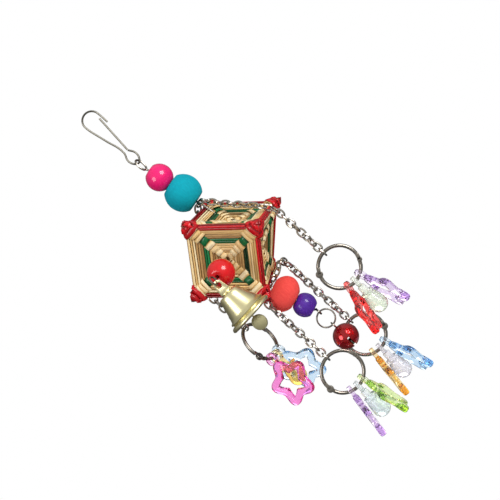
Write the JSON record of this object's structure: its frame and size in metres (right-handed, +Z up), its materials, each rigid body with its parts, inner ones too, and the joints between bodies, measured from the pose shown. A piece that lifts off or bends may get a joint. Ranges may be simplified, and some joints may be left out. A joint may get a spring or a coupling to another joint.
{
  "type": "hanging parrot toy",
  "caption": "Hanging cage toy: a spring clip and wire carry wooden beads, a cube woven from leaf strips, bells, and chains with hinged rings of clear charms.",
  "frame": {"origin": "inner top of the clip bow, where the bar that it hangs on touches it", "axes": "+Z up along the hang, +X to the right and +Y away from the viewer when the bell faces the viewer"},
  "size_m": [0.089, 0.0854, 0.2383],
  "materials": {
    "nickel_steel": "bright nickel plate",
    "bell_brass": "polished pale brass",
    "clapper_brass": "dull brass",
    "jingle_lacquer": "glossy red lacquer",
    "leaf_natural": "dried leaf strip, satin",
    "leaf_green": "dyed leaf strip, satin",
    "leaf_red": "dyed leaf strip, satin",
    "stick_wood": "plain split stick",
    "pink_bead_wood": "glossy lacquered wood",
    "turquoise_bead_wood": "matte dyed wood",
    "coral_bead_wood": "matte dyed wood",
    "violet_bead_wood": "glossy lacquered wood",
    "red_bead_wood": "glossy lacquered wood",
    "red_star_acrylic": "clear tinted acrylic",
    "green_bulb_acrylic": "clear tinted acrylic",
    "lilac_star_acrylic": "clear tinted acrylic",
    "pink_star_acrylic": "clear tinted acrylic",
    "yellow_bulb_acrylic": "clear tinted acrylic",
    "sky_star_acrylic": "clear tinted acrylic",
    "orange_star_acrylic": "clear tinted acrylic",
    "clear_bulb_acrylic": "clear tinted acrylic",
    "blue_star_acrylic": "clear tinted acrylic",
    "violet_star_acrylic": "clear tinted acrylic",
    "aqua_bulb_acrylic": "clear tinted acrylic",
    "lime_star_acrylic": "clear tinted acrylic"
  },
  "bodies": {
    "clip": {"clip_body": "nickel_steel"},
    "gate": {"clip_gate": "nickel_steel"},
    "wire": {"main_wire": "nickel_steel", "bell_wire": "nickel_steel", "diagonal_sticks": "stick_wood", "straw_core": "leaf_natural", "green_winding": "leaf_green", "straw_winding": "leaf_natural", "red_winding": "leaf_red", "upper_chain": "nickel_steel", "lower_chain": "nickel_steel"},
    "pink_bead": {"pink_bead": "pink_bead_wood"},
    "turquoise_bead": {"turquoise_bead": "turquoise_bead_wood"},
    "coral_bead": {"coral_bead": "coral_bead_wood"},
    "violet_bead": {"violet_bead": "violet_bead_wood"},
    "red_bead": {"red_bead": "red_bead_wood"},
    "bell": {"bell_shell": "bell_brass", "bell_hanger": "bell_brass"},
    "clapper": {"bell_clapper": "clapper_brass"},
    "split_ring": {"split_ring": "nickel_steel"},
    "jingle_bell": {"jingle_bell": "jingle_lacquer"},
    "pellet": {"jingle_pellet": "nickel_steel"},
    "right_chain": {"right_chain": "nickel_steel"},
    "right_ring_upper": {"right_ring_upper": "nickel_steel"},
    "right_ring_lower": {"right_ring_lower": "nickel_steel"},
    "red_star": {"red_star": "red_star_acrylic"},
    "green_bulb": {"green_bulb": "green_bulb_acrylic"},
    "lilac_star": {"lilac_star": "lilac_star_acrylic"},
    "left_chain": {"left_chain": "nickel_steel"},
    "left_ring_upper": {"left_ring_upper": "nickel_steel"},
    "left_ring_lower": {"left_ring_lower": "nickel_steel"},
    "pink_star": {"pink_star": "pink_star_acrylic"},
    "yellow_bulb": {"yellow_bulb": "yellow_bulb_acrylic"},
    "sky_star": {"sky_star": "sky_star_acrylic"},
    "lower_right_chain": {"lower_right_chain": "nickel_steel"},
    "lower_right_ring_upper": {"lower_right_ring_upper": "nickel_steel"},
    "lower_right_ring_lower": {"lower_right_ring_lower": "nickel_steel"},
    "orange_star": {"orange_star": "orange_star_acrylic"},
    "clear_bulb": {"clear_bulb": "clear_bulb_acrylic"},
    "blue_star": {"blue_star": "blue_star_acrylic"},
    "lower_left_chain": {"lower_left_chain": "nickel_steel"},
    "lower_left_ring_upper": {"lower_left_ring_upper": "nickel_steel"},
    "lower_left_ring_lower": {"lower_left_ring_lower": "nickel_steel"},
    "violet_star": {"violet_star": "violet_star_acrylic"},
    "aqua_bulb": {"aqua_bulb": "aqua_bulb_acrylic"},
    "lime_star": {"lime_star": "lime_star_acrylic"}
  },
  "joints": [
    {"name": "gate_spring", "type": "hinge", "parent": "clip", "child": "gate", "pos_m": [0.0013, 0, -0.0299], "axis": [0, -1, 0], "range_deg": [0, 15], "stiffness_Nm_per_rad": 0.3},
    {"name": "wire_swing", "type": "hinge", "parent": "clip", "child": "wire", "pos_m": [0, 0, -0.03795], "axis": [0, 1, 0], "range_deg": [-30, 30]},
    {"name": "pink_bead_spin", "type": "hinge", "parent": "wire", "child": "pink_bead", "pos_m": [0.00173, 0, -0.05325], "axis": [0.1547, 0, -0.988], "continuous": true},
    {"name": "turquoise_bead_spin", "type": "hinge", "parent": "wire", "child": "turquoise_bead", "pos_m": [0.00414, 0, -0.06866], "axis": [0.1547, 0, -0.988], "continuous": true},
    {"name": "coral_bead_spin", "type": "hinge", "parent": "wire", "child": "coral_bead", "pos_m": [-0.00006, -0.00353, -0.14676], "axis": [0.247, 0, -0.969], "continuous": true},
    {"name": "violet_bead_spin", "type": "hinge", "parent": "wire", "child": "violet_bead", "pos_m": [0.00315, -0.00353, -0.15936], "axis": [0.247, 0, -0.969], "continuous": true},
    {"name": "red_bead_spin", "type": "hinge", "parent": "wire", "child": "red_bead", "pos_m": [-0.01347, -0.03726, -0.1137], "axis": [-0.4384, -0.8988, 0], "continuous": true},
    {"name": "bell_swing", "type": "hinge", "parent": "wire", "child": "bell", "pos_m": [-0.01873, -0.04805, -0.1162], "axis": [-0.4384, -0.8988, 0], "range_deg": [-40, 40]},
    {"name": "clapper_swing", "type": "hinge", "parent": "bell", "child": "clapper", "pos_m": [-0.01873, -0.04805, -0.1288], "axis": [0.8988, -0.4384, 0], "range_deg": [-30, 30]},
    {"name": "split_ring_swing", "type": "hinge", "parent": "wire", "child": "split_ring", "pos_m": [0.00555, -0.00353, -0.16774], "axis": [1, 0, 0], "range_deg": [-22, 3]},
    {"name": "jingle_bell_swing", "type": "hinge", "parent": "split_ring", "child": "jingle_bell", "pos_m": [0.00555, -0.00286, -0.17669], "axis": [0, 1, 0], "range_deg": [-40, 40]},
    {"name": "pellet_rattle", "type": "slide", "parent": "jingle_bell", "child": "pellet", "axis": [0, 0, 1], "range_m": [0, 0.006]},
    {"name": "right_chain_swing", "type": "hinge", "parent": "wire", "child": "right_chain", "pos_m": [0.03069, -0.01986, -0.11486], "axis": [-0.4384, -0.8988, 0], "range_deg": [-4, 35]},
    {"name": "right_ring_swing", "type": "hinge", "parent": "right_chain", "child": "right_ring_upper", "pos_m": [0.03069, -0.01986, -0.14701], "axis": [1, 0, 0], "range_deg": [-35, 15]},
    {"name": "right_ring_open", "type": "hinge", "parent": "right_ring_upper", "child": "right_ring_lower", "pos_m": [0.02045, -0.01986, -0.15329], "axis": [0, 1, 0], "range_deg": [0, 18]},
    {"name": "red_star_swing", "type": "hinge", "parent": "right_ring_lower", "child": "red_star", "pos_m": [0.02601, -0.01986, -0.16901], "axis": [0.9366, -0.2756, -0.2162], "range_deg": [-30, 22]},
    {"name": "green_bulb_swing", "type": "hinge", "parent": "right_ring_lower", "child": "green_bulb", "pos_m": [0.03069, -0.01986, -0.17001], "axis": [0.9998, 0, -0.0175], "range_deg": [-15, 3]},
    {"name": "lilac_star_swing", "type": "hinge", "parent": "right_ring_lower", "child": "lilac_star", "pos_m": [0.03519, -0.01986, -0.16909], "axis": [0.9491, 0.2419, 0.2017], "range_deg": [-15, 18]},
    {"name": "left_chain_swing", "type": "hinge", "parent": "wire", "child": "left_chain", "pos_m": [-0.02828, 0.0032, -0.11128], "axis": [0.4384, 0.8988, 0], "range_deg": [0, 35]},
    {"name": "left_ring_swing", "type": "hinge", "parent": "left_chain", "child": "left_ring_upper", "pos_m": [-0.02828, 0.0032, -0.14343], "axis": [0.5736, 0.8192, 0], "range_deg": [0, 35]},
    {"name": "left_ring_open", "type": "hinge", "parent": "left_ring_upper", "child": "left_ring_lower", "pos_m": [-0.03431, -0.00541, -0.15961], "axis": [-0.8192, 0.5736, 0], "range_deg": [0, 40]},
    {"name": "pink_star_swing", "type": "hinge", "parent": "left_ring_lower", "child": "pink_star", "pos_m": [-0.03096, -0.00063, -0.16543], "axis": [0.563, 0.8041, -0.1908], "range_deg": [-20, 20]},
    {"name": "yellow_bulb_swing", "type": "hinge", "parent": "left_ring_lower", "child": "yellow_bulb", "pos_m": [-0.02828, 0.0032, -0.16643], "axis": [0.5735, 0.819, -0.0175], "range_deg": [-20, 20]},
    {"name": "sky_star_swing", "type": "hinge", "parent": "left_ring_lower", "child": "sky_star", "pos_m": [-0.0257, 0.00688, -0.16551], "axis": [0.563, 0.8041, 0.1908], "range_deg": [-25, 25]},
    {"name": "lower_right_chain_swing", "type": "hinge", "parent": "wire", "child": "lower_right_chain", "pos_m": [0.0136, 0.0069, -0.14055], "axis": [0.6071, -0.7947, 0], "range_deg": [0, 35]},
    {"name": "lower_right_ring_swing", "type": "hinge", "parent": "lower_right_chain", "child": "lower_right_ring_upper", "pos_m": [0.0136, 0.0069, -0.1842], "axis": [1, 0, 0], "range_deg": [-15, 35]},
    {"name": "lower_right_ring_open", "type": "hinge", "parent": "lower_right_ring_upper", "child": "lower_right_ring_lower", "pos_m": [0.02402, 0.0069, -0.20056], "axis": [0, -1, 0], "range_deg": [0, 40]},
    {"name": "orange_star_swing", "type": "hinge", "parent": "lower_right_ring_lower", "child": "orange_star", "pos_m": [0.00892, 0.0069, -0.20621], "axis": [0.9877, 0, -0.1564], "range_deg": [-14, 14]},
    {"name": "clear_bulb_swing", "type": "hinge", "parent": "lower_right_ring_lower", "child": "clear_bulb", "pos_m": [0.0136, 0.0069, -0.2072], "axis": [0.9998, 0, -0.0175], "range_deg": [-12, 8]},
    {"name": "blue_star_swing", "type": "hinge", "parent": "lower_right_ring_lower", "child": "blue_star", "pos_m": [0.01809, 0.0069, -0.20629], "axis": [0.9491, 0.2419, 0.2017], "range_deg": [-30, 30]},
    {"name": "lower_left_chain_swing", "type": "hinge", "parent": "wire", "child": "lower_left_chain", "pos_m": [-0.00994, -0.01247, -0.15441], "axis": [-0.6709, 0.7416, 0], "range_deg": [0, 35]},
    {"name": "lower_left_ring_swing", "type": "hinge", "parent": "lower_left_chain", "child": "lower_left_ring_upper", "pos_m": [-0.00994, -0.01247, -0.18656], "axis": [1, 0, 0], "range_deg": [-15, 25]},
    {"name": "lower_left_ring_open", "type": "hinge", "parent": "lower_left_ring_upper", "child": "lower_left_ring_lower", "pos_m": [-0.02135, -0.01247, -0.19946], "axis": [0, 1, 0], "range_deg": [0, 40]},
    {"name": "violet_star_swing", "type": "hinge", "parent": "lower_left_ring_lower", "child": "violet_star", "pos_m": [-0.01462, -0.01247, -0.20857], "axis": [0.9816, 0, -0.1908], "range_deg": [-20, 20]},
    {"name": "aqua_bulb_swing", "type": "hinge", "parent": "lower_left_ring_lower", "child": "aqua_bulb", "pos_m": [-0.00994, -0.01247, -0.20956], "axis": [0.9998, 0, -0.0175], "range_deg": [-8, 14]},
    {"name": "lime_star_swing", "type": "hinge", "parent": "lower_left_ring_lower", "child": "lime_star", "pos_m": [-0.00545, -0.01247, -0.20864], "axis": [0.9781, -0.1392, 0.1549], "range_deg": [-16, 14]}
  ]
}
